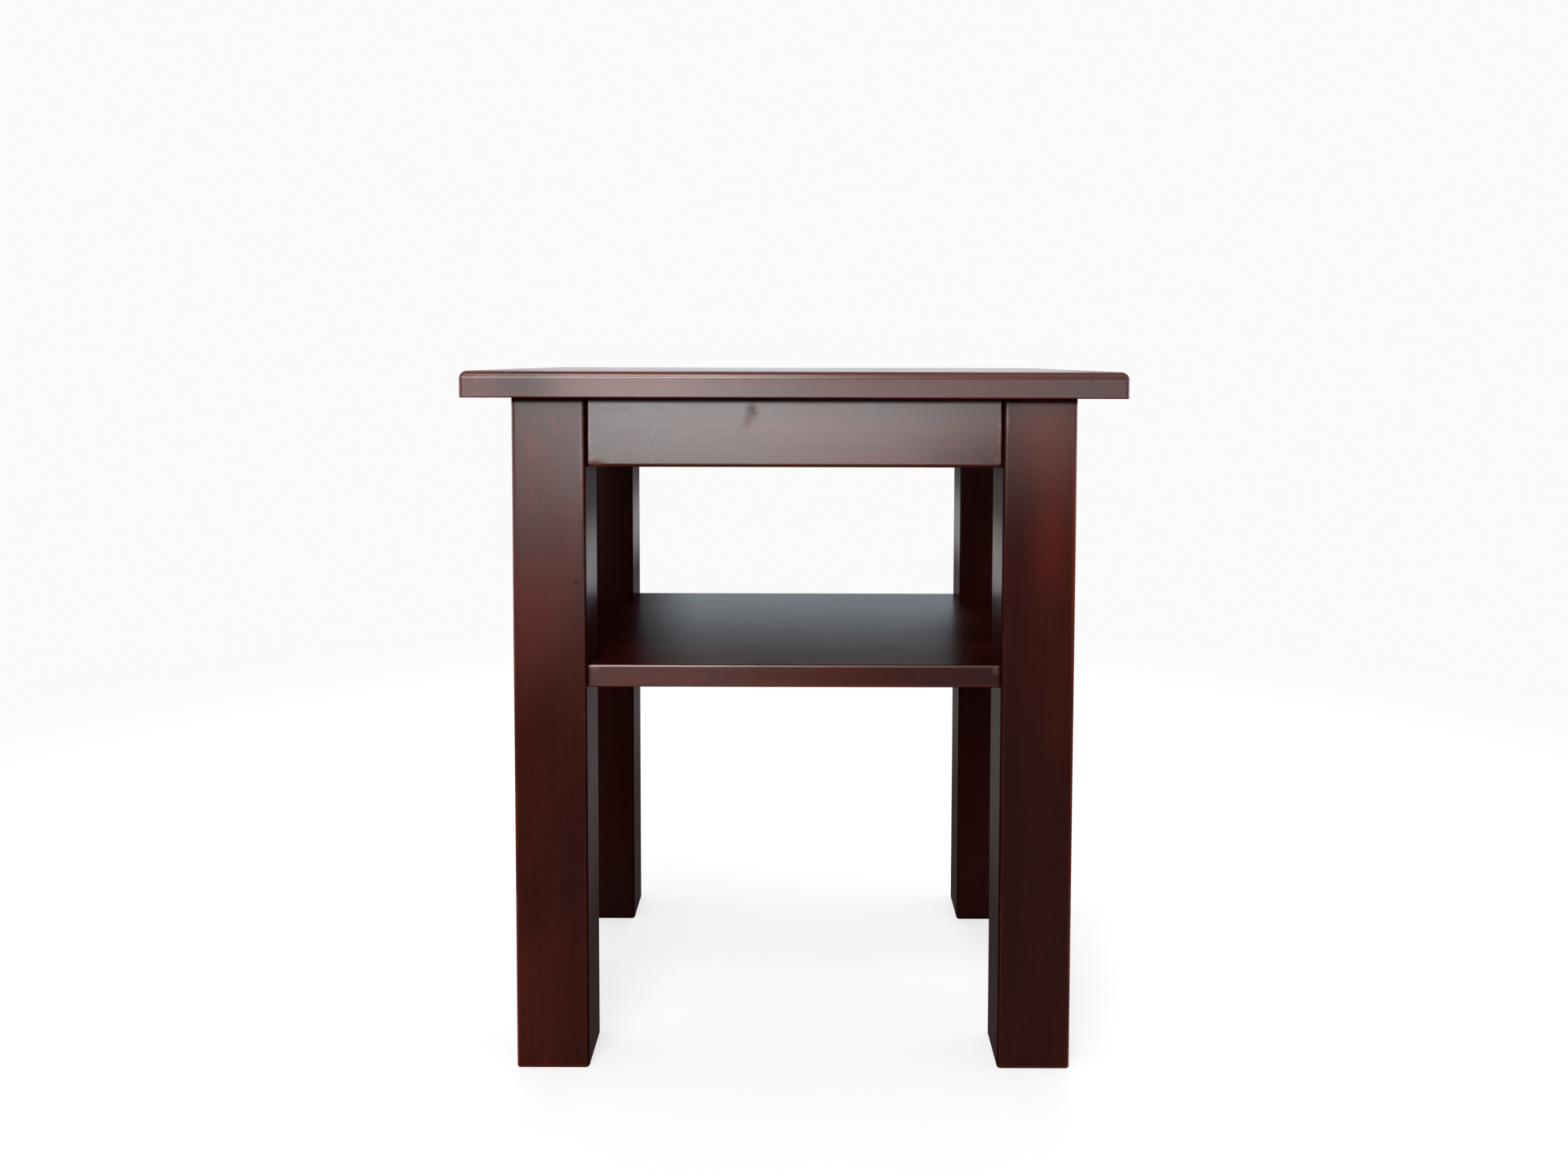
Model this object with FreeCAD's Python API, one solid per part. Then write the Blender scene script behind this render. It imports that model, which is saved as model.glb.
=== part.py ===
import FreeCAD
import Part
import os

# End table with one shelf, in solid stained wood. All lengths are in millimetres.
# X runs along the length of the top, Y from the front to the rear, Z up.
# The origin is on the floor below the middle of the top.

# Top
TABLE_HEIGHT = 550.0
TOP_LENGTH = 500.0
TOP_DEPTH = 400.0
TOP_THICKNESS = 20.0
TOP_OVERHANG = 32.0
TOP_ROUND = 6.0
TOP_CORNER_ROUND = 3.0
TOP_UNDER_ARRIS = 1.0
TOP_BOARD_COUNT = 5

# Legs
LEG_SIDE = 57.0
LEG_ARRIS = 3.0
LEG_FOOT_CHAMFER = 1.0

# Aprons
APRON_HEIGHT = 55.0
APRON_THICKNESS = 20.0
APRON_SETBACK = 9.0
APRON_ARRIS = 3.0
APRON_END_ARRIS = 1.0

# Shelf
SHELF_HEIGHT = 320.0
SHELF_THICKNESS = 18.0
SHELF_SETBACK = 9.0
SHELF_ARRIS = 2.0
SHELF_BOARD_COUNT = 4

# Dowels, glued half their length into each piece that they join
DOWEL_DIAMETER = 8.0
DOWEL_LENGTH = 40.0
DOWEL_CHAMFER = 1.0
DOWEL_GLUE_GAP = 0.1
DOWEL_END_GAP = 1.0
APRON_DOWEL_EDGE = 13.0
SHELF_DOWEL_PITCH = 24.0

# Corner blocks
BLOCK_HEIGHT = 30.0
BLOCK_TIP = 8.0
BLOCK_SCREW_INSET = 28.0

# Screws, with their length set by the wood left in front of the point
SCREW_DIAMETER = 4.0
SCREW_HEAD_DIAMETER = 8.0
SCREW_POINT = 5.0
SCREW_POINT_FLAT = 0.4
SCREW_GAP = 0.1
SCREW_APRON_COVER = 9.7
SCREW_TOP_COVER = 10.0
SCREW_DOWEL_COVER = 4.0
SCREW_RECESS_SPAN = 4.6
SCREW_RECESS_WIDTH = 1.1
SCREW_RECESS_DEPTH = 2.0

# How far a cutting tool runs past the face that it cuts, and how near two places count as one
OVERRUN = 1.0
SAME_PLACE = 0.01

# Sizes that follow from the ones above
UNDERSIDE = TABLE_HEIGHT - TOP_THICKNESS
FRAME_LENGTH = TOP_LENGTH - 2 * TOP_OVERHANG
FRAME_DEPTH = TOP_DEPTH - 2 * TOP_OVERHANG
LEFT = -FRAME_LENGTH / 2
FRONT = -FRAME_DEPTH / 2
APRON_BOTTOM = UNDERSIDE - APRON_HEIGHT
APRON_INNER = APRON_SETBACK + APRON_THICKNESS
BLOCK_BOTTOM = UNDERSIDE - BLOCK_HEIGHT
SHELF_BOTTOM = SHELF_HEIGHT - SHELF_THICKNESS

# A block screw points clear of the dowel in the same apron, and the block reaches past it
SCREW_BITE = APRON_THICKNESS - SCREW_APRON_COVER
SCREW_POINT_FROM_FACE = LEG_SIDE + DOWEL_LENGTH / 2 + DOWEL_END_GAP + SCREW_DOWEL_COVER
SCREW_ENTRY = SCREW_POINT_FROM_FACE + SCREW_BITE
BLOCK_REACH = SCREW_ENTRY + BLOCK_SCREW_INSET
SCREW_IN_BLOCK = (BLOCK_SCREW_INSET + BLOCK_TIP) / 2

ORIGIN = FreeCAD.Vector(0, 0, 0)
ALONG_X = FreeCAD.Vector(1, 0, 0)
ALONG_Y = FreeCAD.Vector(0, 1, 0)
ALONG_Z = FreeCAD.Vector(0, 0, 1)

# Which corners of the table are mirrored left to right and front to rear
CORNERS = {
    "front_left": (False, False),
    "front_right": (True, False),
    "rear_left": (False, True),
    "rear_right": (True, True),
}


def box(x_range, y_range, z_range):
    """A box between two values on each axis."""
    low = FreeCAD.Vector(x_range[0], y_range[0], z_range[0])
    sizes = [high - base for base, high in (x_range, y_range, z_range)]
    return Part.makeBox(*sizes, low)


def prism(points, bottom, height):
    """A prism that stands on a closed outline of (x, y) points."""
    corners = [FreeCAD.Vector(x, y, bottom) for x, y in points]
    outline = Part.makePolygon(corners + corners[:1])
    return Part.Face(outline).extrude(ALONG_Z * height)


def corner_point(in_from_side, in_from_front, level):
    """A point in the front left corner, measured inwards from the outer faces of the leg."""
    return FreeCAD.Vector(LEFT + in_from_side, FRONT + in_from_front, level)


def at_corner(shape, corner):
    """Mirror a shape from the front left corner to another corner."""
    left_to_right, front_to_rear = CORNERS[corner]
    if left_to_right:
        shape = shape.mirror(ORIGIN, ALONG_X)
    if front_to_rear:
        shape = shape.mirror(ORIGIN, ALONG_Y)
    return shape


def at_all_corners(shapes):
    """Copies of the shapes at all four corners."""
    return [at_corner(shape, corner) for corner in CORNERS for shape in shapes]


def runs_along(edge, axis):
    """Whether an edge is straight and parallel to an axis, given as X, Y or Z."""
    spans = {name: getattr(edge.BoundBox, name + "Length") for name in "XYZ"}
    return all(spans[name] < SAME_PLACE for name in spans if name != axis)


def edges_at(solid, level):
    """The edges of a solid that lie flat at one level."""
    flat = [edge for edge in solid.Edges if edge.BoundBox.ZLength < SAME_PLACE]
    return [edge for edge in flat if abs(edge.BoundBox.Center.z - level) < SAME_PLACE]


def turned(profile, start, direction):
    """Turn a profile of (radius, distance) points round an axis, then lay it along a direction."""
    points = [FreeCAD.Vector(radius, 0, distance) for radius, distance in profile]
    face = Part.Face(Part.makePolygon(points + points[:1]))
    solid = face.revolve(ORIGIN, ALONG_Z, 360)
    turn = FreeCAD.Rotation(ALONG_Z, direction)
    solid.Placement = FreeCAD.Placement(start, turn)
    return solid


# Dowels and their holes

def dowel(centre, direction):
    """A round dowel with chamfered ends, centred on the joint."""
    radius = DOWEL_DIAMETER / 2
    profile = [
        (0, 0),
        (radius - DOWEL_CHAMFER, 0),
        (radius, DOWEL_CHAMFER),
        (radius, DOWEL_LENGTH - DOWEL_CHAMFER),
        (radius - DOWEL_CHAMFER, DOWEL_LENGTH),
        (0, DOWEL_LENGTH),
    ]
    return turned(profile, centre - direction * (DOWEL_LENGTH / 2), direction)


def dowel_hole(centre, direction):
    """The hole for a dowel, through the joint and into both pieces."""
    length = DOWEL_LENGTH + 2 * DOWEL_END_GAP
    radius = DOWEL_DIAMETER / 2 + DOWEL_GLUE_GAP
    return Part.makeCylinder(radius, length, centre - direction * (length / 2), direction)


def apron_dowel_places():
    """Where the dowels of one leg and its two aprons lie, and which way they run."""
    inset = APRON_SETBACK + APRON_THICKNESS / 2
    places = []
    for level in (APRON_BOTTOM + APRON_DOWEL_EDGE, UNDERSIDE - APRON_DOWEL_EDGE):
        places.append((corner_point(LEG_SIDE, inset, level), ALONG_X))
        places.append((corner_point(inset, LEG_SIDE, level), ALONG_Y))
    return places


def shelf_dowel_places():
    """Where the dowels between one leg and the shelf lie, and which way they run."""
    centre = (SHELF_SETBACK + LEG_SIDE) / 2
    level = SHELF_HEIGHT - SHELF_THICKNESS / 2
    insets = (centre - SHELF_DOWEL_PITCH / 2, centre + SHELF_DOWEL_PITCH / 2)
    return [(corner_point(inset, LEG_SIDE, level), ALONG_Y) for inset in insets]


# Screws and their holes

def screw_profile(length, gap):
    """Half of a countersunk screw from its head to its point, grown by a gap all round."""
    head = SCREW_HEAD_DIAMETER / 2 + gap
    shank = SCREW_DIAMETER / 2 + gap
    point = SCREW_POINT_FLAT / 2 + gap
    return [
        (0, 0),
        (head, 0),
        (shank, head - shank),
        (shank, length - SCREW_POINT),
        (point, length + gap),
        (0, length + gap),
    ]


def screw(start, direction, length):
    """A countersunk screw with a cross recess in its head."""
    body = turned(screw_profile(length, 0), ORIGIN, ALONG_Z)
    half_span = SCREW_RECESS_SPAN / 2
    half_width = SCREW_RECESS_WIDTH / 2
    depth = (-OVERRUN, SCREW_RECESS_DEPTH)
    slot = box((-half_span, half_span), (-half_width, half_width), depth)
    crossing = box((-half_width, half_width), (-half_span, half_span), depth)
    body = body.cut([slot, crossing])
    body.Placement = FreeCAD.Placement(start, FreeCAD.Rotation(ALONG_Z, direction))
    return body


def screw_hole(start, direction, length):
    """The countersunk hole for a screw, opened out in front of the head."""
    hole = turned(screw_profile(length, SCREW_GAP), start, direction)
    radius = SCREW_HEAD_DIAMETER / 2 + SCREW_GAP
    mouth = Part.makeCylinder(radius, OVERRUN, start - direction * OVERRUN, direction)
    return hole.fuse(mouth)


def block_screw_places():
    """Start, direction and length of the two screws from one block into its aprons."""
    level = BLOCK_BOTTOM + BLOCK_HEIGHT / 2
    along = SCREW_ENTRY + SCREW_IN_BLOCK
    across = APRON_INNER + SCREW_IN_BLOCK
    inwards = (ALONG_X + ALONG_Y).normalize() * -1
    length = (SCREW_IN_BLOCK + SCREW_BITE) * 2 ** 0.5
    starts = (corner_point(along, across, level), corner_point(across, along, level))
    return [(start, inwards, length) for start in starts]


def top_screw_places():
    """Start, direction and length of the screw from one block up into the top."""
    diagonal_face = (BLOCK_REACH + APRON_INNER + BLOCK_TIP) / 2
    inset = (LEG_SIDE + diagonal_face) / 2
    start = corner_point(inset, inset, BLOCK_BOTTOM)
    return [(start, ALONG_Z, BLOCK_HEIGHT + TOP_THICKNESS - SCREW_TOP_COVER)]


# Wooden pieces

def leg(holes):
    """A front left leg with eased arrises, bored for its dowels."""
    blank = box((LEFT, LEFT + LEG_SIDE), (FRONT, FRONT + LEG_SIDE), (0, UNDERSIDE))
    arrises = [edge for edge in blank.Edges if runs_along(edge, "Z")]
    post = blank.makeFillet(LEG_ARRIS, arrises)
    post = post.makeChamfer(LEG_FOOT_CHAMFER, edges_at(post, 0))
    return post.cut(holes)


def eased_apron(x_range, y_range, long_axis):
    """An apron with its lower arrises rounded, and the arrises round its ends just eased."""
    blank = box(x_range, y_range, (APRON_BOTTOM, UNDERSIDE))
    lower = [edge for edge in edges_at(blank, APRON_BOTTOM) if runs_along(edge, long_axis)]
    rail = blank.makeFillet(APRON_ARRIS, lower)
    ends = [edge for edge in rail.Edges if runs_along(edge, "Z")]
    return rail.makeFillet(APRON_END_ARRIS, ends)


def front_apron(holes):
    """The apron between the two front legs."""
    x_range = (LEFT + LEG_SIDE, -LEFT - LEG_SIDE)
    y_range = (FRONT + APRON_SETBACK, FRONT + APRON_INNER)
    return eased_apron(x_range, y_range, "X").cut(holes)


def left_apron(holes):
    """The apron between the front and rear legs on the left."""
    x_range = (LEFT + APRON_SETBACK, LEFT + APRON_INNER)
    y_range = (FRONT + LEG_SIDE, -FRONT - LEG_SIDE)
    return eased_apron(x_range, y_range, "Y").cut(holes)


def corner_block(holes):
    """The block in the front left corner, notched round the leg and cut off on the diagonal."""
    tip = APRON_INNER + BLOCK_TIP
    outline = [
        (LEG_SIDE, APRON_INNER),
        (BLOCK_REACH, APRON_INNER),
        (BLOCK_REACH, tip),
        (tip, BLOCK_REACH),
        (APRON_INNER, BLOCK_REACH),
        (APRON_INNER, LEG_SIDE),
        (LEG_SIDE, LEG_SIDE),
    ]
    points = [(LEFT + along, FRONT + across) for along, across in outline]
    return prism(points, BLOCK_BOTTOM, BLOCK_HEIGHT).cut(holes)


def top_panel(holes):
    """The whole top, with its upper edge rounded over and its lower edge just eased."""
    half_length = TOP_LENGTH / 2
    half_depth = TOP_DEPTH / 2
    panel = box((-half_length, half_length), (-half_depth, half_depth), (UNDERSIDE, TABLE_HEIGHT))
    corners = [edge for edge in panel.Edges if runs_along(edge, "Z")]
    panel = panel.makeFillet(TOP_CORNER_ROUND, corners)
    panel = panel.makeFillet(TOP_ROUND, edges_at(panel, TABLE_HEIGHT))
    panel = panel.makeFillet(TOP_UNDER_ARRIS, edges_at(panel, UNDERSIDE))
    return panel.cut(holes)


def shelf_panel(holes):
    """The whole shelf, notched round the four legs, with its open edges eased."""
    reach_x = FRAME_LENGTH / 2 - SHELF_SETBACK
    reach_y = FRAME_DEPTH / 2 - SHELF_SETBACK
    between_x = FRAME_LENGTH / 2 - LEG_SIDE
    between_y = FRAME_DEPTH / 2 - LEG_SIDE
    outline = [
        (-between_x, -reach_y),
        (between_x, -reach_y),
        (between_x, -between_y),
        (reach_x, -between_y),
        (reach_x, between_y),
        (between_x, between_y),
        (between_x, reach_y),
        (-between_x, reach_y),
        (-between_x, between_y),
        (-reach_x, between_y),
        (-reach_x, -between_y),
        (-between_x, -between_y),
    ]
    panel = prism(outline, SHELF_BOTTOM, SHELF_THICKNESS)
    rims = edges_at(panel, SHELF_HEIGHT) + edges_at(panel, SHELF_BOTTOM)
    long_rims = [edge for edge in rims if abs(abs(edge.BoundBox.Center.y) - reach_y) < SAME_PLACE]
    end_rims = [edge for edge in rims if abs(abs(edge.BoundBox.Center.x) - reach_x) < SAME_PLACE]
    return panel.makeFillet(SHELF_ARRIS, long_rims + end_rims).cut(holes)


def boards(panel, depth, count):
    """Saw a panel into the boards that it is glued up from, front board first."""
    half_length = TOP_LENGTH / 2 + OVERRUN
    front = -depth / 2
    seams = [front + number * depth / count for number in range(1, count)]
    lines = [front - OVERRUN] + seams + [OVERRUN - front]
    slabs = []
    for low, high in zip(lines, lines[1:]):
        slabs.append(box((-half_length, half_length), (low, high), (0, TABLE_HEIGHT + OVERRUN)))
    return [panel.common(slab) for slab in slabs]


def write(node, shape):
    """Write one node of the table."""
    shape.exportStep("parts/" + node + ".step")


os.makedirs("parts", exist_ok=True)

apron_dowels = [dowel(*place) for place in apron_dowel_places()]
shelf_dowels = [dowel(*place) for place in shelf_dowel_places()]
apron_dowel_holes = [dowel_hole(*place) for place in apron_dowel_places()]
shelf_dowel_holes = [dowel_hole(*place) for place in shelf_dowel_places()]
block_screws = [screw(*place) for place in block_screw_places()]
top_screws = [screw(*place) for place in top_screw_places()]
block_screw_holes = [screw_hole(*place) for place in block_screw_places()]
top_screw_holes = [screw_hole(*place) for place in top_screw_places()]

apron_holes = at_all_corners(apron_dowel_holes + block_screw_holes)
one_leg = leg(apron_dowel_holes + shelf_dowel_holes)
one_block = corner_block(block_screw_holes + top_screw_holes)
for corner in CORNERS:
    write("leg_" + corner, at_corner(one_leg, corner))
    write("corner_block_" + corner, at_corner(one_block, corner))

front = front_apron(apron_holes)
left = left_apron(apron_holes)
write("apron_front", front)
write("apron_rear", front.mirror(ORIGIN, ALONG_Y))
write("apron_left", left)
write("apron_right", left.mirror(ORIGIN, ALONG_X))

top_boards = boards(top_panel(at_all_corners(top_screw_holes)), TOP_DEPTH, TOP_BOARD_COUNT)
for number, board in enumerate(top_boards, start=1):
    write("top_board_" + str(number), board)

shelf_depth = FRAME_DEPTH - 2 * SHELF_SETBACK
shelf_boards = boards(shelf_panel(at_all_corners(shelf_dowel_holes)), shelf_depth, SHELF_BOARD_COUNT)
for number, board in enumerate(shelf_boards, start=1):
    write("shelf_board_" + str(number), board)

write("apron_dowels", Part.makeCompound(at_all_corners(apron_dowels)))
write("shelf_dowels", Part.makeCompound(at_all_corners(shelf_dowels)))
write("block_screws", Part.makeCompound(at_all_corners(block_screws)))
write("top_screws", Part.makeCompound(at_all_corners(top_screws)))
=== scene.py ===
import math
import random

import bpy
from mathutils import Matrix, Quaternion, Vector


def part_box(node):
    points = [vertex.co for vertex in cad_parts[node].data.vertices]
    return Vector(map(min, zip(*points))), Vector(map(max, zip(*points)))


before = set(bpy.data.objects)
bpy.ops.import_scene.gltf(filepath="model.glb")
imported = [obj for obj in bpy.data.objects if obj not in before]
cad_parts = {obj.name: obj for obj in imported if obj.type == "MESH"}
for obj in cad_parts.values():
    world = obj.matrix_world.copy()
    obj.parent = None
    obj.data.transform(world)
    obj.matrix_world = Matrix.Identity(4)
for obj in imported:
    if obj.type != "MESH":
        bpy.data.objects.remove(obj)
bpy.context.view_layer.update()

# Camera: frame in pixels, place in metres, pitch and roll in radians, sensor in millimetres
FRAME_WIDTH = 2000
FRAME_HEIGHT = 1500
FOCAL_PIXELS = 1688.0
VIEW_CENTRE = (1026.5, 550.0)
CAMERA_PLACE = (0.0080, -1.1836, 0.5596)
CAMERA_PITCH = 0.0549
CAMERA_ROLL = 0.0024
SENSOR_WIDTH = 36.0
NEAREST_SEEN = 0.01

# Lamps: place, aim, width and height in metres, power in watts, spread in degrees
LAMPS = {
    "front_strip": ((-0.15, -2.20, 0.45), (0.05, -0.17, 0.51), (0.98, 0.17), 0.72, 50.0),
    "right_strip": ((0.62, -2.20, 0.52), (0.20, -0.20, 0.53), (0.42, 0.10), 0.08, 50.0),
    "left_strip": ((-0.80, -2.20, 0.55), (-0.22, -0.20, 0.54), (0.30, 0.08), 0.08, 50.0),
    "overhead_strip": ((-0.30, -1.15, 2.00), (-0.10, -0.20, 0.55), (0.7, 0.35), 1.6, 60.0),
    "key_softbox": ((-0.50, -2.00, 1.20), (-0.05, -0.17, 0.55), (0.9, 0.6), 1.4, 44.0),
    "top_softbox": ((0.0, 0.4, 2.9), (0.0, 0.4, 0.0), (3.0, 3.0), 60.0, 180.0),
    "left_softbox": ((-2.3, 0.3, 0.60), (0.0, 0.1, 0.45), (1.8, 0.9), 5.0, 80.0),
    "right_softbox": ((2.3, 0.3, 0.60), (0.0, 0.1, 0.45), (1.8, 0.9), 5.0, 80.0),
    "rear_softbox": ((0.0, 2.2, 1.9), (0.0, 0.2, 0.3), (1.8, 1.4), 5.0, 80.0),
    "rear_window": ((0.0, 2.2, 0.55), (0.0, 0.2, 0.45), (1.4, 0.30), 0.60, 80.0),
}
LAMP_TINT = {"rear_window": (0.42, 0.74, 1.00)}

# Surround: the light that it gives and the white that is seen of it
FILL_LIGHT = 0.12
SEEN_WHITE = 0.96

# Floor, with its side, centre and fade in metres
FLOOR_SIDE = 12.0
FLOOR_PALE = (0.38, 0.38, 0.38, 1.0)
FLOOR_PALER = (0.42, 0.42, 0.42, 1.0)
FLOOR_GLOW = 0.65
FLOOR_ROUGH = 0.9
FLOOR_GLOSS = 0.1
FLOOR_NOISE = (1.5, 2.0)
FLOOR_CENTRE = (0.0, -0.2, 0.0)
FLOOR_FADE = (0.9, 1.9)

# Stain, wood where it is worn, and colours that also paint shade and highlights, as linear light
STAIN_MID = (0.043, 0.0056, 0.0034, 1.0)
STAIN_WARM = (0.090, 0.0116, 0.0054, 1.0)
DARK_STAIN_AND_SHADE = (0.016, 0.0028, 0.0022, 1.0)
PORE_STAIN_AND_SHADE = (0.009, 0.0018, 0.0015, 1.0)
STAIN_RUBBED = (0.200, 0.0240, 0.0095, 1.0)
STAIN_RED = (0.280, 0.0400, 0.0220, 1.0)
STAIN_KNOT = (0.085, 0.0200, 0.0085, 1.0)
SCUFF_AND_HIGHLIGHT = (0.360, 0.2100, 0.1600, 1.0)
# Painted highlight for the top's rounded front edge
PAINTED_EDGE_HIGHLIGHT = (0.460, 0.3500, 0.3100, 1.0)
WORN_THROUGH = (0.128, 0.0340, 0.0160, 1.0)

# Lacquer: gloss, sheen of the legs, roughness of the polish and how fast dull marks take it away
LACQUER_GLOSS = 0.06
LEG_SHEEN = 0.12
INNER_SHEEN = 0.08
HAND_POLISH = 0.40
POLISH_ROUGH = 0.26
POLISH_LOSS = 3.0

# Roughness, wear at the edges and polish of each kind of piece
LEG_LOOK = (0.25, 0.60, 0.60)
TOP_LOOK = (0.27, 0.10, 0.78)
SHELF_LOOK = (0.32, 0.30, 0.90)
APRON_LOOK = (0.25, 0.30, 1.00)

# Bare wood and zinc: colours as linear light, gloss and roughness
BARE_PALE = (0.560, 0.390, 0.220, 1.0)
BARE_WARM = (0.470, 0.300, 0.150, 1.0)
BARE_LATE = (0.340, 0.180, 0.075, 1.0)
BARE_DUSTY = (0.620, 0.520, 0.390, 1.0)
BARE_GLOSS = 0.25
BARE_ROUGH = 0.66
ZINC_BRIGHT = (0.640, 0.620, 0.570, 1.0)
ZINC_BLUE = (0.460, 0.490, 0.540, 1.0)
ZINC_DULL = (0.260, 0.250, 0.240, 1.0)
ZINC_ROUGH = 0.28

# Painted shade: how much darker the legs that get less light are painted than the rest
PAINTED_SHADE_ON_LEGS = {"leg_front_right": 0.60, "leg_rear_left": 0.55, "leg_rear_right": 0.58}

# Heights between which a sheen, or the painted shade under the top, comes in or goes, in metres
POLISH_RISE = (0.25, 0.48)
LATE_POLISH_RISE = {"leg_front_right": (0.40, 0.56)}
SHEEN_RISE = (0.10, 0.24)
SHEEN_FALL = (0.45, 0.50)
HAND_RISE = (0.345, 0.390)
HAND_FALL = (0.400, 0.450)
UNDER_TOP_SHADE_RISE = (0.5235, 0.5270)

# How far a face is turned towards an axis, from not at all at 0 to square on at 1
SQUARE_ON = (0.6, 0.9)
HALF_ON = (0.3, 0.8)

# Wood grain: lengths in metres, tilt in radians, the rest as shares of a ring, a board or a knot
RING_WIDTH = 0.0042
RING_WANDER = 0.016
LATE_RISE = (0.35, 0.92)
LATE_FALL = (0.93, 1.0)
STAINED_RINGS = (0.8, 1.25)
BARE_RINGS = (0.7, 1.0)
HEART_AWAY = (0.04, 0.09)
GRAIN_TILT = 0.03
KNOT_PUSH = 0.004
KNOT_REACH = 4
KNOT_SPREAD = (0.25, 0.75)
KNOT_SIZE = (0.0025, 0.0045)
KNOT_STRETCH = 1.8
PLANER_PITCH = 0.0024

# Noise that follows the grain: stretch along it, scale, detail, roughness
RING_NOISE = (0.16, 9.0, 2.0, 0.5)
FIBRE = (0.06, 420.0, 3.0, 0.6)
STREAK = (0.04, 70.0, 3.0, 0.6)
CLOUD = (0.45, 11.0, 2.0, 0.5)
PORES = (0.07, 2200.0, 1.0, 0.5)
BLOTCH = (0.50, 26.0, 3.0, 0.5)
BARE_FIBRE = (0.05, 520.0, 3.0, 0.6)
BARE_CLOUD = (0.40, 24.0, 2.0, 0.5)

# Noise that is even all round: scale, detail, roughness
PEEL = (480.0, 1.0, 0.5)
WAVE = (16.0, 1.0, 0.5)
PATCH = (90.0, 4.0, 0.7)
RAGGED = (320.0, 3.0, 0.6)
FUZZ = (900.0, 1.0, 0.5)
ZINC_CLOUD = (260.0, 2.0, 0.5)
SPANGLE = (1400.0, 2.0, 0.5)
ZINC_SPOTS = (480.0, 3.0, 0.5)
SCRATCH = (2600.0, 1.0, 0.5)
SCRATCH_STRETCH = (1.0, 0.15, 1.0)
MEAN_NOISE = 0.5

# Relief of a surface: strength, and distance in metres
STAINED_RELIEF = (0.25, 0.0006)
BARE_RELIEF = (0.35, 0.0005)
ZINC_RELIEF = (0.2, 0.0002)

# Faces that carry marks, and how deep a mark reaches, in metres
LEG_FACE = -0.168
APRON_FACE = -0.159
TOP_FACE = -0.200
SHELF_FACE = -0.159
MARK_DEPTH = 0.0100

# How ragged the edge of a mark is
FRAYED = 1.4
SOFT = 0.4

# Marks on the front, in the order in which they are laid on: middle across and up, half width and
# half height in metres, lean in radians, edge, share of the colour, colour, how much duller
LEFT_LEG_MARKS = {
    # Painted shade on the inner, lower side of the leg
    "shaded_side": ((-0.1650, 0.1500), (0.0320, 0.3000), 0.0, SOFT, 0.55, DARK_STAIN_AND_SHADE, 0.0),
    # Painted highlight along the inner arris of the leg
    "arris_highlight": ((-0.1642, 0.4900), (0.0013, 0.0600), 0.0, FRAYED, 0.25, SCUFF_AND_HIGHLIGHT, 0.0),
    "warm_patch": ((-0.1880, 0.3700), (0.0260, 0.0850), 0.0, SOFT, 0.45, STAIN_WARM, 0.0),
    "red_patch": ((-0.2020, 0.4900), (0.0200, 0.0180), 0.0, SOFT, 0.18, STAIN_RED, 0.04),
    "red_streak": ((-0.1842, 0.5080), (0.0030, 0.0140), -0.5, FRAYED, 0.32, STAIN_RED, 0.12),
    "pin_knot": ((-0.1688, 0.3860), (0.0038, 0.0034), 0.0, FRAYED, 0.80, PORE_STAIN_AND_SHADE, 0.15),
}
RIGHT_LEG_MARKS = {
    # Painted shade on the inner side of the leg
    "shaded_side": ((0.1650, 0.3000), (0.0320, 0.3500), 0.0, SOFT, 0.50, DARK_STAIN_AND_SHADE, 0.0),
    # Painted highlight along the inner arris of the leg
    "arris_highlight": ((0.1642, 0.5160), (0.0014, 0.0180), 0.0, FRAYED, 0.35, SCUFF_AND_HIGHLIGHT, 0.0),
    "warm_patch": ((0.1990, 0.4300), (0.0240, 0.0900), 0.0, SOFT, 0.75, STAIN_WARM, -0.03),
    "warm_head": ((0.1940, 0.5050), (0.0420, 0.0600), 0.0, SOFT, 0.45, STAIN_RUBBED, -0.03),
    "outer_rim": ((0.2165, 0.4300), (0.0032, 0.1800), 0.0, SOFT, 0.60, STAIN_RUBBED, 0.0),
}
APRON_MARKS = {
    "dull_corner": ((0.1700, 0.4760), (0.1000, 0.0400), 0.0, SOFT, 0.70, STAIN_MID, 0.20),
    "knot": ((-0.0330, 0.5200), (0.0075, 0.0070), 0.0, FRAYED, 0.60, STAIN_KNOT, 0.30),
    "run": ((-0.0355, 0.5130), (0.0065, 0.0140), 0.45, FRAYED, 0.50, STAIN_KNOT, 0.22),
    # Painted highlight along the apron's left end arris
    "left_end_highlight": ((-0.1595, 0.4980), (0.0030, 0.0260), 0.0, FRAYED, 0.40, SCUFF_AND_HIGHLIGHT, 0.05),
    "left_corner": ((-0.1570, 0.4815), (0.0070, 0.0030), 0.0, FRAYED, 0.55, SCUFF_AND_HIGHLIGHT, 0.10),
    "left_worn": ((-0.1535, 0.4782), (0.0120, 0.0044), 0.0, FRAYED, 0.90, WORN_THROUGH, 0.30),
    "right_stroke": ((0.1540, 0.4880), (0.0016, 0.0080), 0.4, FRAYED, 0.60, STAIN_RED, 0.15),
    "right_corner": ((0.1580, 0.4810), (0.0036, 0.0050), 0.0, FRAYED, 0.25, SCUFF_AND_HIGHLIGHT, 0.10),
    # Painted highlight along the apron's right end arris
    "right_end_highlight": ((0.1595, 0.5040), (0.0024, 0.0300), 0.0, FRAYED, 0.30, SCUFF_AND_HIGHLIGHT, 0.05),
}
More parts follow.
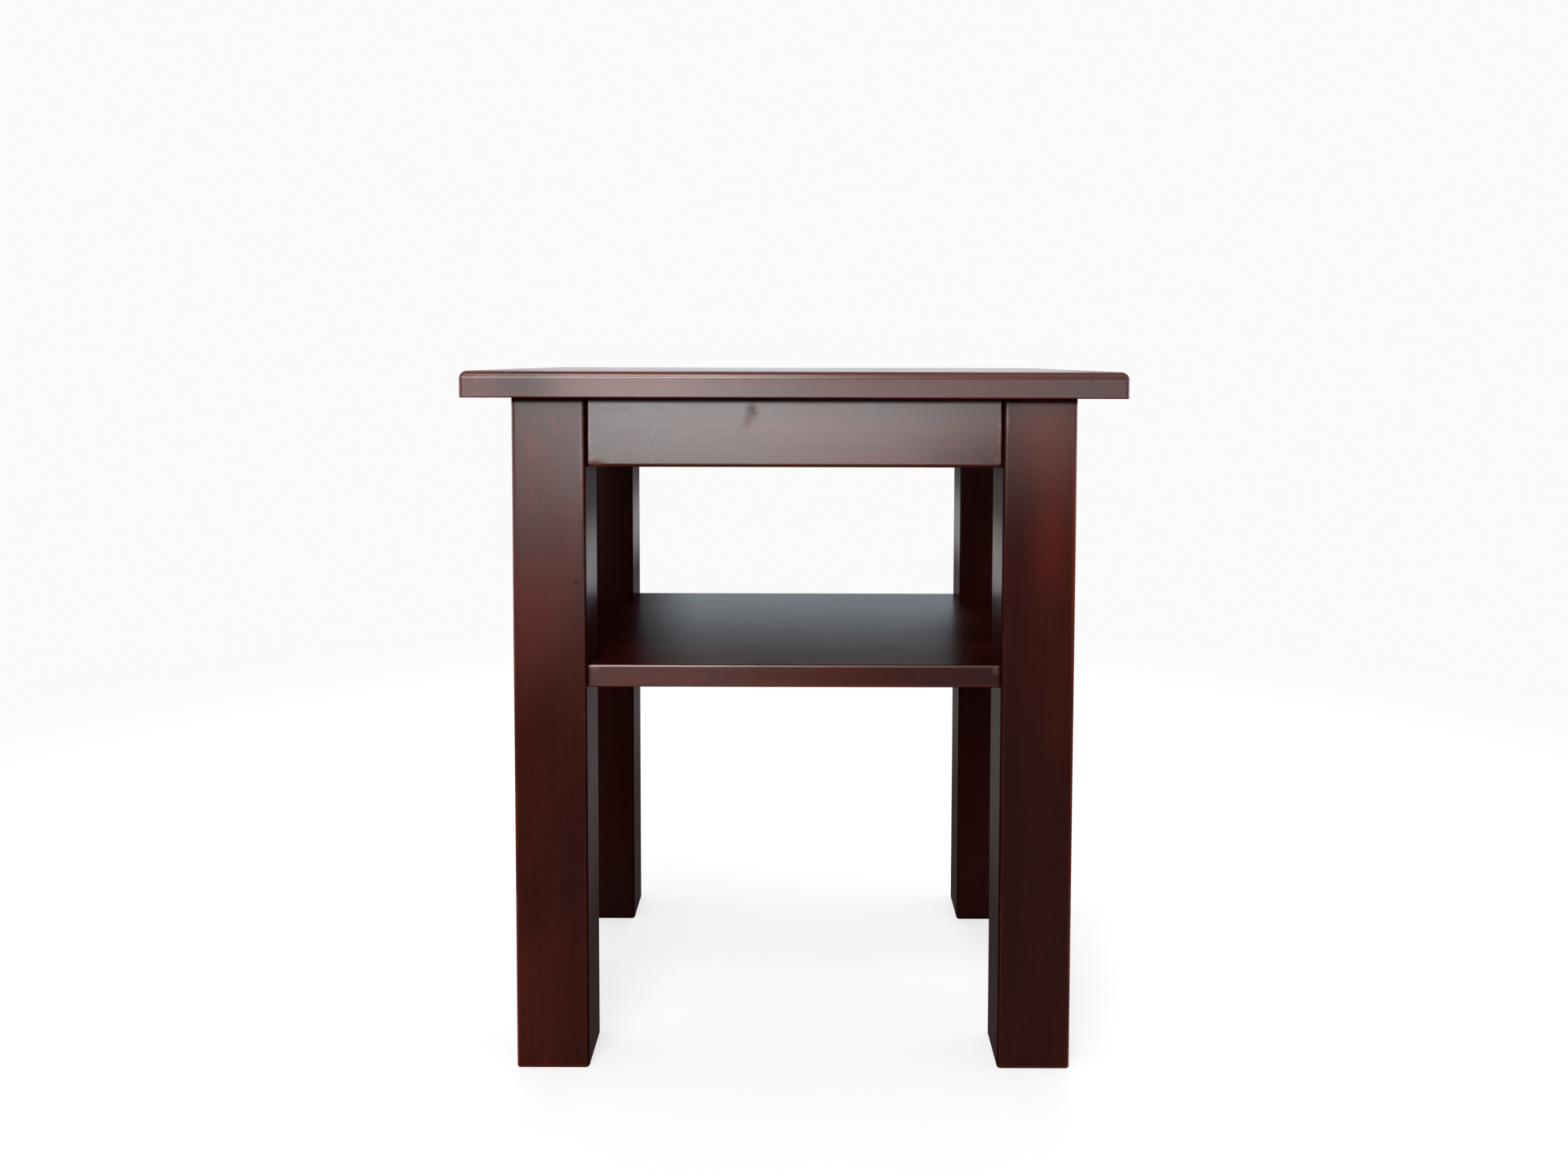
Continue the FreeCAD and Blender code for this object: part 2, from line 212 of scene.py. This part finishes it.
TOP_MARKS = {
    # Painted highlight: a pale line along the rounding of the top's front edge
    "highlight_line": ((-0.0600, 0.5456), (0.2600, 0.0012), 0.0, SOFT, 0.70, PAINTED_EDGE_HIGHLIGHT, -0.10),
    "dull_end": ((-0.2000, 0.5380), (0.0400, 0.0200), 0.0, SOFT, 0.60, DARK_STAIN_AND_SHADE, 0.14),
    "left_polish": ((-0.1300, 0.5400), (0.0900, 0.0300), 0.0, SOFT, 0.50, STAIN_WARM, -0.10),
    "dull_middle": ((0.0700, 0.5400), (0.1500, 0.0300), 0.0, SOFT, 0.50, STAIN_WARM, 0.14),
    "grey_line": ((0.2210, 0.5425), (0.0020, 0.0070), 0.0, FRAYED, 0.60, DARK_STAIN_AND_SHADE, 0.12),
}
SHELF_MARKS = {
    # Painted shade on the right part of the shelf's front edge
    "shaded_end": ((0.1400, 0.3100), (0.0900, 0.0200), 0.0, SOFT, 0.60, DARK_STAIN_AND_SHADE, 0.10),
    "left_end": ((-0.1570, 0.3180), (0.0060, 0.0040), 0.0, FRAYED, 0.25, SCUFF_AND_HIGHLIGHT, 0.10),
    "right_end": ((0.1580, 0.3160), (0.0040, 0.0060), 0.0, FRAYED, 0.20, SCUFF_AND_HIGHLIGHT, 0.10),
}
FRONT_MARKS = {
    "leg_front_left": (LEG_FACE, LEFT_LEG_MARKS),
    "leg_front_right": (LEG_FACE, RIGHT_LEG_MARKS),
    "apron_front": (APRON_FACE, APRON_MARKS),
    "top_board_1": (TOP_FACE, TOP_MARKS),
    "shelf_board_1": (SHELF_FACE, SHELF_MARKS),
}


class Wire:
    """A socket of a finish. Arithmetic on it adds Math nodes."""

    def __init__(self, finish, socket):
        self.finish = finish
        self.socket = socket

    def other(self, output):
        return Wire(self.finish, self.socket.node.outputs[output])

    def __add__(self, value):
        return self.finish.math("ADD", self, value)

    def __radd__(self, value):
        return self.finish.math("ADD", value, self)

    def __sub__(self, value):
        return self.finish.math("SUBTRACT", self, value)

    def __rsub__(self, value):
        return self.finish.math("SUBTRACT", value, self)

    def __mul__(self, value):
        return self.finish.math("MULTIPLY", self, value)

    def __rmul__(self, value):
        return self.finish.math("MULTIPLY", value, self)

    def __truediv__(self, value):
        return self.finish.math("DIVIDE", self, value)

    def __rtruediv__(self, value):
        return self.finish.math("DIVIDE", value, self)

    def __abs__(self):
        return self.finish.math("ABSOLUTE", self)


class Finish:
    """A material, or the world, and the nodes that make it."""

    def __init__(self, owner):
        self.owner = owner
        owner.use_nodes = True
        self.tree = owner.node_tree

    def connect(self, socket, value):
        if isinstance(value, Wire):
            self.tree.links.new(value.socket, socket)
        else:
            socket.default_value = value

    def node(self, kind, settings, inputs, output=0):
        added = self.tree.nodes.new(kind)
        for name, value in settings.items():
            setattr(added, name, value)
        for name, value in inputs.items():
            self.connect(added.inputs[name], value)
        return Wire(self, added.outputs[output])

    def math(self, operation, *values):
        return self.node("ShaderNodeMath", {"operation": operation}, dict(enumerate(values)))

    def vector(self, operation, *values, output="Vector"):
        inputs = dict(enumerate(values))
        return self.node("ShaderNodeVectorMath", {"operation": operation}, inputs, output)

    def part(self, vector, axis):
        return self.node("ShaderNodeSeparateXYZ", {}, {"Vector": vector}, axis)

    def parts(self, vector):
        x = self.part(vector, "X")
        return x, x.other("Y"), x.other("Z")

    def place(self):
        return self.node("ShaderNodeTexCoord", {}, {}, "Object")

    def facing(self, axis):
        return self.part(self.node("ShaderNodeNewGeometry", {}, {}, "Normal"), axis)

    def noise(self, vector, scale, detail, roughness=0.5):
        inputs = {"Vector": vector, "Scale": scale, "Detail": detail, "Roughness": roughness}
        return self.node("ShaderNodeTexNoise", {}, inputs, "Fac")

    def fade(self, value, low, high):
        inputs = {"Value": value, "From Min": low, "From Max": high}
        return self.node("ShaderNodeMapRange", {"interpolation_type": "SMOOTHSTEP"}, inputs)

    def band(self, value, rise, fall):
        return self.fade(value, *rise) * (1 - self.fade(value, *fall))

    def mix(self, share, first, second):
        return self.node("ShaderNodeMix", {"data_type": "RGBA"}, {0: share, 6: first, 7: second}, 2)

    def lay(self, colour, layers):
        for mask, share, tint in layers:
            colour = self.mix(mask * share, colour, tint)
        return colour

    def bump(self, height, strength, distance):
        inputs = {"Height": height, "Strength": strength, "Distance": distance}
        return self.node("ShaderNodeBump", {}, inputs)

    def seen_ray(self):
        ray = self.node("ShaderNodeLightPath", {}, {}, "Is Camera Ray")
        mirrored = self.math("MAXIMUM", ray.other("Is Glossy Ray"), ray.other("Is Transmission Ray"))
        return self.math("MAXIMUM", ray, mirrored)

    def fill(self, node_name, sockets):
        for name, value in sockets.items():
            self.connect(self.tree.nodes[node_name].inputs[name], value)

    def surface(self, sockets):
        self.fill("Principled BSDF", sockets)
        return self.owner


def new_finish(name):
    return Finish(bpy.data.materials.new(name))


# Boxes of the pieces

def middle(box):
    return (box[0] + box[1]) / 2


def half_size(box):
    return (box[1] - box[0]) / 2


def join_boxes(boxes):
    low = Vector([min(box[0][axis] for box in boxes) for axis in range(3)])
    high = Vector([max(box[1][axis] for box in boxes) for axis in range(3)])
    return low, high


# Grain of a board, with its length on the third axis of the grain space

GRAIN_TURN = {
    "X": (0.0, math.radians(90), 0.0),
    "Y": (math.radians(-90), 0.0, 0.0),
    "Z": (0.0, 0.0, 0.0),
}


def grain_space(finish, place, box, grain, dice):
    away = [dice.uniform(*HEART_AWAY) * dice.choice((-1, 1)) for axis in range(3)]
    tilt = (dice.uniform(-GRAIN_TILT, GRAIN_TILT), dice.uniform(-GRAIN_TILT, GRAIN_TILT), 0.0)
    turn = Vector(GRAIN_TURN[grain]) + Vector(tilt)
    inputs = {"Vector": place, "Location": middle(box) + Vector(away), "Rotation": turn}
    return finish.node("ShaderNodeMapping", {"vector_type": "TEXTURE"}, inputs)


def grain_noise(finish, local, stretch, scale, detail, roughness):
    stretched = finish.vector("MULTIPLY", local, (1.0, 1.0, stretch))
    return finish.noise(stretched, scale, detail, roughness)


def year_rings(finish, local, ring_width, push):
    across = finish.part(local, "X")
    deep = finish.part(local, "Y")
    wander = grain_noise(finish, local, *RING_NOISE) - MEAN_NOISE
    radius = finish.math("SQRT", across * across + deep * deep)
    radius = radius + wander * RING_WANDER + push * KNOT_PUSH
    turn = finish.math("FRACT", radius / ring_width)
    return finish.band(turn, LATE_RISE, LATE_FALL)


def stray_knot(box, grain, dice):
    lengthways = "XYZ".index(grain)
    centre = Vector([dice.uniform(*KNOT_SPREAD) for axis in range(3)])
    face = dice.choice([axis for axis in range(3) if axis != lengthways])
    centre[face] = dice.choice((0.0, 1.0))
    size = Vector([dice.uniform(*KNOT_SIZE) for axis in range(3)])
    size[lengthways] *= KNOT_STRETCH
    return box[0] + (box[1] - box[0]) * centre, size


# Faces of a piece, by the way they are turned

def end_grain(finish, grain):
    return finish.fade(abs(finish.facing(grain)), *SQUARE_ON)


def level_face(finish):
    return finish.fade(finish.facing("Z"), *SQUARE_ON)


def front_edge(finish):
    return finish.fade(finish.facing("Y") * -1, *SQUARE_ON)


def upright_face(finish):
    return 1 - finish.fade(abs(finish.facing("Z")), 0.1, 0.4)


def underside(finish):
    return finish.fade(finish.facing("Z") * -1, 0.2, 0.6)


def upper_round(finish):
    return finish.band(finish.facing("Z"), (0.15, 0.35), (0.70, 0.95))


def polished_edge(finish):
    return finish.band(finish.facing("Z"), (-0.3, -0.05), (0.50, 0.72))


def towards_middle(finish, box, axis):
    centre = middle(box)["XYZ".index(axis)]
    return finish.facing(axis) * -math.copysign(1.0, centre)


def inner_face(finish, box):
    in_length = towards_middle(finish, box, "X")
    in_depth = towards_middle(finish, box, "Y")
    return finish.fade(finish.math("MAXIMUM", in_length, in_depth), *HALF_ON)


def side_face(finish, box):
    return finish.fade(towards_middle(finish, box, "X"), *HALF_ON)


# Where a piece is worn, marked or has a sheen

def edge_distance(finish, place, box):
    inward = finish.vector("ABSOLUTE", finish.vector("SUBTRACT", place, middle(box)))
    x, y, z = finish.parts(finish.vector("SUBTRACT", half_size(box), inward))
    nearer = finish.math("MINIMUM", x, y)
    farther = finish.math("MAXIMUM", x, y)
    return finish.math("MAXIMUM", nearer, finish.math("MINIMUM", farther, z))


def upper_part(finish, place, rise):
    return finish.fade(finish.part(place, "Z"), *rise)


def inner_sheen(finish, place):
    z = finish.part(place, "Z")
    steady = finish.band(z, SHEEN_RISE, SHEEN_FALL) * INNER_SHEEN
    return steady + finish.band(z, HAND_RISE, HAND_FALL) * HAND_POLISH


def leg_sheen(finish, place, box, inner):
    dulled = inner * (0.5 + upper_part(finish, place, SHEEN_FALL) * 0.3)
    return (1 - dulled) * LEG_SHEEN + side_face(finish, box) * inner_sheen(finish, place)


def shelf_sheen(finish, place):
    x = finish.part(place, "X")
    y = finish.part(place, "Y")
    rearwards = 0.13 + finish.fade(y, -0.16, 0.13) * 0.19
    left = 0.20 + finish.fade(x + y * 0.1, -0.150, -0.080) * 0.80
    right = 1 - finish.fade(x, 0.10, 0.16) * (1 - finish.fade(y, -0.10, 0.10)) * 0.6
    return rearwards * left * right


def shelf_coat(finish, place, polish):
    left_half = 1 - finish.fade(finish.part(place, "X"), -0.12, 0.08)
    edge_coat = front_edge(finish) * (0.30 + left_half * 0.6)
    level_coat = level_face(finish) * shelf_sheen(finish, place)
    return upper_round(finish) * polish + edge_coat + level_coat


def spot(finish, place, centre, size, lean=0.0, ragged=FRAYED):
    inputs = {"Vector": place, "Location": centre, "Rotation": (0.0, lean, 0.0), "Scale": size}
    local = finish.node("ShaderNodeMapping", {"vector_type": "TEXTURE"}, inputs)
    fray = (finish.noise(place, *RAGGED) - MEAN_NOISE) * ragged
    return 1 - finish.fade(finish.vector("LENGTH", local, output="Value") + fray, 0.0, 1.0)


def front_mark(finish, place, face, centre, reach, lean, ragged):
    across, up = centre
    wide, high = reach
    return spot(finish, place, (across, face, up), (wide, MARK_DEPTH, high), lean, ragged)


# Finishes

def stained_wood(name, grain, box, panel, rough, rubbed, polish):
    kind = name.split("_")[0]
    in_frame = kind in ("leg", "apron")
    dice = random.Random(name)
    finish = new_finish(name + "_stain")
    place = finish.place()
    local = grain_space(finish, place, box, grain, dice)
    knot_centre, knot_size = stray_knot(box, grain, dice)
    knot = spot(finish, place, knot_centre, knot_size)
    knot_push = spot(finish, place, knot_centre, knot_size * KNOT_REACH)

    late = year_rings(finish, local, RING_WIDTH * dice.uniform(*STAINED_RINGS), knot_push)
    fibre = grain_noise(finish, local, *FIBRE)
    streak = grain_noise(finish, local, *STREAK)
    cloud = grain_noise(finish, local, *CLOUD)
    pores = finish.fade(grain_noise(finish, local, *PORES), 0.60, 0.75)
    blotch = grain_noise(finish, local, *BLOTCH)
    peel = finish.noise(place, *PEEL)
    wave = finish.noise(place, *WAVE)
    patch = finish.fade(finish.noise(place, *PATCH), 0.56, 0.68)

    from_edge = edge_distance(finish, place, panel) + (cloud - MEAN_NOISE) * 0.002
    edge = 1 - finish.fade(from_edge, 0.0008, 0.0032)
    scuff = patch * (1 - finish.fade(from_edge, 0.0010, 0.0024))
    inner = inner_face(finish, box) if in_frame else 0.0
    worn = edge * (0.3 + finish.fade(blotch, 0.35, 0.60) * 0.7) * (1 - inner)

    colour = finish.mix(finish.fade(cloud, 0.34, 0.66), STAIN_MID, STAIN_WARM)
    colour = finish.lay(colour, [
        (finish.fade(blotch, 0.50, 0.72), 0.40, DARK_STAIN_AND_SHADE),
        (finish.fade(streak, 0.40, 0.75), 0.32, DARK_STAIN_AND_SHADE),
        (late, 0.20, DARK_STAIN_AND_SHADE),
        (finish.fade(fibre, 0.45, 0.80), 0.28, DARK_STAIN_AND_SHADE),
        (pores, 0.30, PORE_STAIN_AND_SHADE),
        (end_grain(finish, grain), 0.50, DARK_STAIN_AND_SHADE),
        (knot, 0.70, STAIN_KNOT),
        (patch, 0.10, STAIN_RUBBED),
    ])
    # Painted shade: legs that get less light are painted darker all over
    if name in PAINTED_SHADE_ON_LEGS:
        colour = finish.mix(PAINTED_SHADE_ON_LEGS[name], colour, DARK_STAIN_AND_SHADE)
    colour = finish.lay(colour, [(worn, rubbed, STAIN_RUBBED), (scuff, rubbed * 0.25, SCUFF_AND_HIGHLIGHT)])
    roughness = rough + (cloud - MEAN_NOISE) * 0.16 + (fibre - MEAN_NOISE) * 0.14
    roughness = roughness + pores * 0.14 + knot * 0.1 + underside(finish) * 0.7

    lustre = polish
    face, marks = FRONT_MARKS.get(name, (0.0, {}))
    for centre, reach, lean, ragged, share, tint, duller in marks.values():
        mark = front_mark(finish, place, face, centre, reach, lean, ragged) * share
        colour = finish.mix(mark, colour, tint)
        roughness = roughness + mark * duller
        lustre = lustre * (1 - mark * (duller * POLISH_LOSS))

    if in_frame:
        # Painted shade: the strip just under the top, shaded by the overhang, is laid on dark below
        # and made duller
        shade_under_top = upper_part(finish, place, UNDER_TOP_SHADE_RISE)
        colour = finish.lay(colour, [
            # Painted shade on inner faces and their arrises, for the shade inside the frame
            (inner, 0.65, DARK_STAIN_AND_SHADE),
            (inner * edge, 0.70, PORE_STAIN_AND_SHADE),
            (shade_under_top, 0.85, PORE_STAIN_AND_SHADE),
        ])
        roughness = roughness + shade_under_top * 0.6 + inner * 0.3
        open_face = (1 - inner) * (1 - shade_under_top) * upright_face(finish)
        rise = LATE_POLISH_RISE.get(name, POLISH_RISE)
        coat = upper_part(finish, place, rise) * open_face * lustre
        if kind == "leg":
            sheen = leg_sheen(finish, place, box, inner)
            coat = coat + sheen * (1 - shade_under_top) * (1 - inner * edge)
    elif kind == "shelf":
        # Painted shade: the shelf's top face is darkened for the shadow of the top above it
        colour = finish.mix(level_face(finish) * 0.80, colour, DARK_STAIN_AND_SHADE)
        coat = shelf_coat(finish, place, polish)
    else:
        coat = polished_edge(finish) * lustre

    height = fibre * 0.07 - pores * 0.08 + peel * 0.15 + late * 0.06 + wave * 1.2 - scuff * 0.3
    return finish.surface({
        "Base Color": colour,
        "Roughness": roughness,
        "Normal": finish.bump(height, *STAINED_RELIEF),
        "Specular IOR Level": LACQUER_GLOSS if kind in ("top", "apron") else 0.0,
        "Coat Weight": coat * (0.75 + peel * 0.3 + blotch * 0.3 - pores * 0.2),
        "Coat Roughness": POLISH_ROUGH,
    })


def bare_wood(name, grain, box):
    dice = random.Random(name)
    finish = new_finish(name + "_bare")
    place = finish.place()
    local = grain_space(finish, place, box, grain, dice)

    late = year_rings(finish, local, RING_WIDTH * dice.uniform(*BARE_RINGS), 0.0)
    fibre = grain_noise(finish, local, *BARE_FIBRE)
    cloud = grain_noise(finish, local, *BARE_CLOUD)
    fuzz = finish.fade(finish.noise(place, *FUZZ), 0.55, 0.70)
    ripple = finish.math("SINE", finish.part(local, "Z") * (2 * math.pi / PLANER_PITCH))
    from_edge = edge_distance(finish, place, box) + (fibre - MEAN_NOISE) * 0.003
    edge = 1 - finish.fade(from_edge, 0.0003, 0.0018)
    ends = end_grain(finish, grain)

    colour = finish.mix(finish.fade(cloud, 0.35, 0.65), BARE_PALE, BARE_WARM)
    colour = finish.lay(colour, [
        (late, 0.55, BARE_LATE),
        (finish.fade(fibre, 0.45, 0.75), 0.35, BARE_LATE),
        (ends, 0.35, BARE_LATE),
        (edge, 0.45, BARE_DUSTY),
        (fuzz, 0.25, BARE_DUSTY),
    ])
    roughness = BARE_ROUGH - late * 0.10 + (fibre - MEAN_NOISE) * 0.12 + ends * 0.12
    height = fibre * 0.5 + late * 0.25 + ripple * 0.12 + fuzz * 0.2
    return finish.surface({
        "Base Color": colour,
        "Roughness": roughness,
        "Normal": finish.bump(height, *BARE_RELIEF),
        "Specular IOR Level": BARE_GLOSS,
    })


def zinc_steel(name):
    finish = new_finish(name + "_zinc")
    place = finish.place()
    cloud = finish.noise(place, *ZINC_CLOUD)
    spangle = finish.noise(place, *SPANGLE)
    drawn = finish.vector("MULTIPLY", place, SCRATCH_STRETCH)
    scratch = finish.fade(finish.noise(drawn, *SCRATCH), 0.6, 0.7)
    dull = finish.fade(finish.noise(place, *ZINC_SPOTS), 0.55, 0.72)
    colour = finish.mix(finish.fade(cloud, 0.35, 0.65), ZINC_BRIGHT, ZINC_BLUE)
    colour = finish.mix(dull * 0.5, colour, ZINC_DULL)
    roughness = ZINC_ROUGH + (spangle - MEAN_NOISE) * 0.2 + dull * 0.2 + scratch * 0.1
    height = spangle * 0.4 - scratch * 0.4 - dull * 0.2
    return finish.surface({
        "Base Color": colour,
        "Roughness": roughness,
        "Normal": finish.bump(height, *ZINC_RELIEF),
        "Metallic": 1.0,
    })


def dress(name, material):
    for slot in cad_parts[name].material_slots:
        slot.material = material


def dress_table():
    nodes = sorted(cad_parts)
    top = join_boxes([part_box(name) for name in nodes if name.startswith("top_board")])
    shelf = join_boxes([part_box(name) for name in nodes if name.startswith("shelf_board")])
    for name in nodes:
        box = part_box(name)
        if name.startswith("leg"):
            dress(name, stained_wood(name, "Z", box, box, *LEG_LOOK))
        elif name.startswith("top_board"):
            dress(name, stained_wood(name, "X", box, top, *TOP_LOOK))
        elif name.startswith("shelf_board"):
            dress(name, stained_wood(name, "X", box, shelf, *SHELF_LOOK))
        elif name in ("apron_front", "apron_rear"):
            dress(name, stained_wood(name, "X", box, box, *APRON_LOOK))
        elif name in ("apron_left", "apron_right"):
            dress(name, stained_wood(name, "Y", box, box, *APRON_LOOK))
        elif name.endswith("screws"):
            dress(name, zinc_steel(name))
        else:
            dress(name, bare_wood(name, "X", box))


# Camera and studio

def camera():
    data = bpy.data.cameras.new("camera")
    data.sensor_fit = "HORIZONTAL"
    data.sensor_width = SENSOR_WIDTH
    data.lens = FOCAL_PIXELS / FRAME_WIDTH * SENSOR_WIDTH
    data.shift_x = (FRAME_WIDTH / 2 - VIEW_CENTRE[0]) / FRAME_WIDTH
    data.shift_y = (VIEW_CENTRE[1] - FRAME_HEIGHT / 2) / FRAME_WIDTH
    data.clip_start = NEAREST_SEEN
    stand = bpy.data.objects.new("camera", data)
    stand.location = CAMERA_PLACE
    stand.rotation_mode = "QUATERNION"
    pitch = Quaternion((1, 0, 0), math.radians(90) - CAMERA_PITCH)
    roll = Quaternion((0, 0, 1), CAMERA_ROLL)
    stand.rotation_quaternion = pitch @ roll
    bpy.context.scene.collection.objects.link(stand)
    bpy.context.scene.camera = stand


def lamp(name, place, aim, size, power, spread):
    data = bpy.data.lights.new(name, "AREA")
    data.shape = "RECTANGLE"
    data.size, data.size_y = size
    data.energy = power
    data.spread = math.radians(spread)
    data.color = LAMP_TINT.get(name, (1.0, 1.0, 1.0))
    stand = bpy.data.objects.new(name, data)
    stand.location = place
    stand.rotation_mode = "QUATERNION"
    stand.rotation_quaternion = (Vector(aim) - Vector(place)).to_track_quat("-Z", "Y")
    stand.visible_camera = False
    bpy.context.scene.collection.objects.link(stand)


def pale_floor():
    finish = new_finish("pale_floor")
    place = finish.place()
    colour = finish.mix(finish.noise(place, *FLOOR_NOISE), FLOOR_PALE, FLOOR_PALER)
    finish.surface({"Base Color": colour, "Roughness": FLOOR_ROUGH, "Specular IOR Level": FLOOR_GLOSS})
    distance = finish.vector("DISTANCE", place, FLOOR_CENTRE, output="Value")
    far = finish.fade(distance, *FLOOR_FADE)
    clear = finish.node("ShaderNodeBsdfTransparent", {}, {})
    solid = Wire(finish, finish.tree.nodes["Principled BSDF"].outputs["BSDF"])
    glow = finish.node("ShaderNodeEmission", {}, {"Strength": finish.seen_ray() * FLOOR_GLOW})
    lit = finish.node("ShaderNodeAddShader", {}, {0: solid, 1: glow})
    below = finish.node("ShaderNodeNewGeometry", {}, {}, "Backfacing")
    unseen = finish.math("MAXIMUM", far, below)
    blend = finish.node("ShaderNodeMixShader", {}, {0: unseen, 1: lit, 2: clear})
    finish.fill("Material Output", {"Surface": blend})
    return finish.owner


def floor():
    bpy.ops.object.select_all(action="DESELECT")
    bpy.ops.mesh.primitive_plane_add(size=FLOOR_SIDE)
    sheet = bpy.context.object
    sheet.name = "floor"
    sheet.data.materials.append(pale_floor())


def white_surround():
    finish = Finish(bpy.data.worlds.new("white_surround"))
    strength = FILL_LIGHT + finish.seen_ray() * (SEEN_WHITE - FILL_LIGHT)
    finish.fill("Background", {"Color": (1.0, 1.0, 1.0, 1.0), "Strength": strength})
    bpy.context.scene.world = finish.owner


camera()
dress_table()
for name, settings in LAMPS.items():
    lamp(name, *settings)
floor()
white_surround()
bpy.context.scene.view_settings.view_transform = "Standard"
